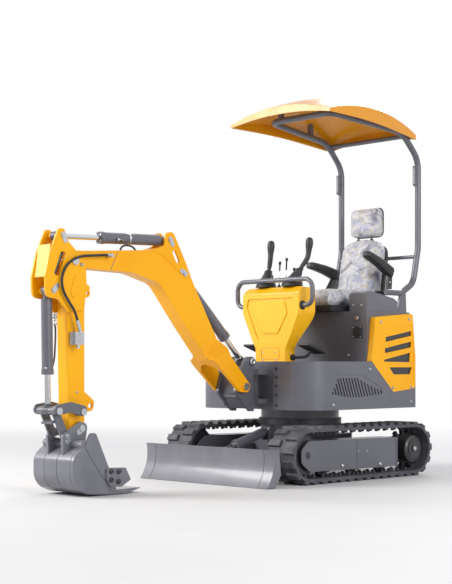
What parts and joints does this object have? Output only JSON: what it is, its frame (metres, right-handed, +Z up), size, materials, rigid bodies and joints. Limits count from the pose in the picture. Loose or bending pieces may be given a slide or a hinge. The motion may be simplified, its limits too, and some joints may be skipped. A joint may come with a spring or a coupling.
{
  "type": "mini excavator",
  "caption": "Compact tracked excavator with a swing boom, a stick and bucket, a dozer blade and a canopied operator's seat.",
  "frame": {"origin": "on the ground under the slewing axis, midway between the tracks", "axes": "+Z up along the slewing axis, -Y towards the boom and the blade, +X towards the machine's left side"},
  "size_m": [0.958, 2.5423, 2.1319],
  "materials": {
    "yellow_paint": "semi-gloss enamel",
    "grey_paint": "satin enamel",
    "black_paint": "satin enamel",
    "yellow_plastic": "moulded glass-fibre shell",
    "black_plastic": "moulded",
    "rubber": "moulded",
    "seat_cloth": "quilted cover",
    "cast_steel": "machined and greased",
    "pin_steel": "zinc plated",
    "chrome": "hard chrome"
  },
  "bodies": {
    "undercarriage": {"track_left": "rubber", "track_right": "rubber", "side_frames": "grey_paint", "track_wheels": "cast_steel", "drive_sprockets": "cast_steel", "travel_motors": "grey_paint", "chassis": "grey_paint", "slew_ring": "cast_steel"},
    "blade": {"dozer_blade": "grey_paint"},
    "blade_barrel": {"blade_cylinder_barrel": "black_paint"},
    "blade_rod": {"blade_cylinder_rod": "chrome"},
    "house": {"upper_frame": "grey_paint", "skirts": "grey_paint", "counterweight": "grey_paint", "seat_box": "grey_paint", "engine_block": "cast_steel", "engine_covers": "yellow_paint", "console": "yellow_paint", "handrail": "black_paint", "control_levers": "black_plastic", "pedals": "black_plastic", "seat_pan": "black_plastic", "seat_cushion": "seat_cloth", "seat_back": "seat_cloth", "headrest": "seat_cloth", "armrests": "black_plastic", "control_boxes": "grey_paint", "canopy_frame": "grey_paint", "canopy_roof": "yellow_plastic", "swing_pin": "pin_steel", "vent_mesh": "black_paint", "seat_box_switches": "black_plastic", "roof_mounts": "grey_paint"},
    "post": {"swing_post": "grey_paint", "post_pins": "pin_steel"},
    "swing_barrel": {"swing_cylinder_barrel": "black_paint"},
    "swing_rod": {"swing_cylinder_rod": "chrome"},
    "boom": {"boom": "yellow_paint", "boom_pins": "pin_steel", "boom_fitting": "pin_steel"},
    "boom_barrel": {"boom_cylinder_barrel": "black_paint"},
    "boom_rod": {"boom_cylinder_rod": "chrome"},
    "stick": {"stick": "yellow_paint", "stick_pins": "pin_steel", "stick_valve_block": "pin_steel", "boom_hose": "rubber"},
    "stick_barrel": {"stick_cylinder_barrel": "black_paint"},
    "stick_rod": {"stick_cylinder_rod": "chrome"},
    "bucket_barrel": {"bucket_cylinder_barrel": "black_paint"},
    "bucket_rod": {"bucket_cylinder_rod": "chrome"},
    "side_link_pair": {"side_links": "grey_paint", "linkage_pins": "pin_steel"},
    "bucket_link_fork": {"bucket_link": "grey_paint"},
    "bucket": {"bucket": "grey_paint", "bucket_pins": "pin_steel"}
  },
  "joints": [
    {"name": "slew", "type": "hinge", "parent": "undercarriage", "child": "house", "pos_m": [0, 0, 0.325], "axis": [0, 0, 1], "continuous": true},
    {"name": "boom_swing", "type": "hinge", "parent": "house", "child": "post", "pos_m": [0, -0.43, 0.51], "axis": [0, 0, 1], "range_deg": [-50, 50]},
    {"name": "boom_lift", "type": "hinge", "parent": "post", "child": "boom", "pos_m": [0, -0.535, 0.505], "axis": [-1, 0, 0], "range_deg": [-69, 40]},
    {"name": "stick_crowd", "type": "hinge", "parent": "boom", "child": "stick", "pos_m": [0, -1.647, 1.113], "axis": [1, 0, 0], "range_deg": [-75, 30]},
    {"name": "bucket_curl", "type": "hinge", "parent": "stick", "child": "bucket", "pos_m": [0, -1.612, 0.318], "axis": [1, 0, 0], "range_deg": [-60, 85]},
    {"name": "blade_lift", "type": "hinge", "parent": "undercarriage", "child": "blade", "pos_m": [0, -0.372, 0.15], "axis": [-1, 0, 0], "range_deg": [-25, 27]},
    {"name": "boom_barrel_turn", "type": "hinge", "parent": "boom", "child": "boom_barrel", "pos_m": [0, -0.928, 1.088], "axis": [-1, 0, 0], "range_deg": [-2, 2]},
    {"name": "boom_rod_slide", "type": "slide", "parent": "boom_barrel", "child": "boom_rod", "axis": [0, 0.7163, -0.6978], "range_m": [-0.095, 0.155]},
    {"name": "stick_barrel_turn", "type": "hinge", "parent": "boom", "child": "stick_barrel", "pos_m": [0, -1.028, 1.253], "axis": [1, 0, 0], "range_deg": [-3, 3]},
    {"name": "stick_rod_slide", "type": "slide", "parent": "stick_barrel", "child": "stick_rod", "axis": [0, -0.9995, -0.032], "range_m": [-0.165, 0.07]},
    {"name": "bucket_barrel_turn", "type": "hinge", "parent": "stick", "child": "bucket_barrel", "pos_m": [0, -1.772, 0.971], "axis": [1, 0, 0], "range_deg": [-2, 2]},
    {"name": "bucket_rod_slide", "type": "slide", "parent": "bucket_barrel", "child": "bucket_rod", "axis": [0, 0.0159, -0.9999], "range_m": [-0.11, 0.15]},
    {"name": "side_link_turn", "type": "hinge", "parent": "stick", "child": "side_link_pair", "pos_m": [0, -1.618, 0.397], "axis": [1, 0, 0], "range_deg": [-50, 65]},
    {"name": "bucket_link_turn", "type": "hinge", "parent": "bucket", "child": "bucket_link_fork", "pos_m": [0, -1.696, 0.28], "axis": [1, 0, 0], "range_deg": [-55, 40]},
    {"name": "blade_barrel_turn", "type": "hinge", "parent": "undercarriage", "child": "blade_barrel", "pos_m": [0, -0.262, 0.262], "axis": [-1, 0, 0], "range_deg": [-18, 20]},
    {"name": "blade_rod_slide", "type": "slide", "parent": "blade_barrel", "child": "blade_rod", "axis": [0, -0.9617, -0.2741], "range_m": [-0.05, 0.05]},
    {"name": "swing_barrel_turn", "type": "hinge", "parent": "house", "child": "swing_barrel", "pos_m": [-0.205, -0.06, 0.51], "axis": [0, 0, 1], "range_deg": [-4, 4]},
    {"name": "swing_rod_slide", "type": "slide", "parent": "swing_barrel", "child": "swing_rod", "axis": [0.2289, -0.9735, 0], "range_m": [-0.09, 0.09]}
  ],
  "couplings": [
    {"joint": "boom_barrel_turn", "follows": "boom_lift", "ratio": 0.004},
    {"joint": "boom_rod_slide", "follows": "boom_lift", "m_per_rad": -0.12},
    {"joint": "stick_barrel_turn", "follows": "stick_crowd", "ratio": 0.02},
    {"joint": "stick_rod_slide", "follows": "stick_crowd", "m_per_rad": 0.116},
    {"joint": "bucket_barrel_turn", "follows": "bucket_curl", "ratio": -0.004},
    {"joint": "bucket_rod_slide", "follows": "bucket_curl", "m_per_rad": 0.094},
    {"joint": "side_link_turn", "follows": "bucket_curl", "ratio": 0.705},
    {"joint": "bucket_link_turn", "follows": "bucket_curl", "ratio": -0.59},
    {"joint": "blade_barrel_turn", "follows": "blade_lift", "ratio": 0.596},
    {"joint": "blade_rod_slide", "follows": "blade_lift", "m_per_rad": -0.084},
    {"joint": "swing_barrel_turn", "follows": "boom_swing", "ratio": -0.04},
    {"joint": "swing_rod_slide", "follows": "boom_swing", "m_per_rad": 0.096}
  ]
}
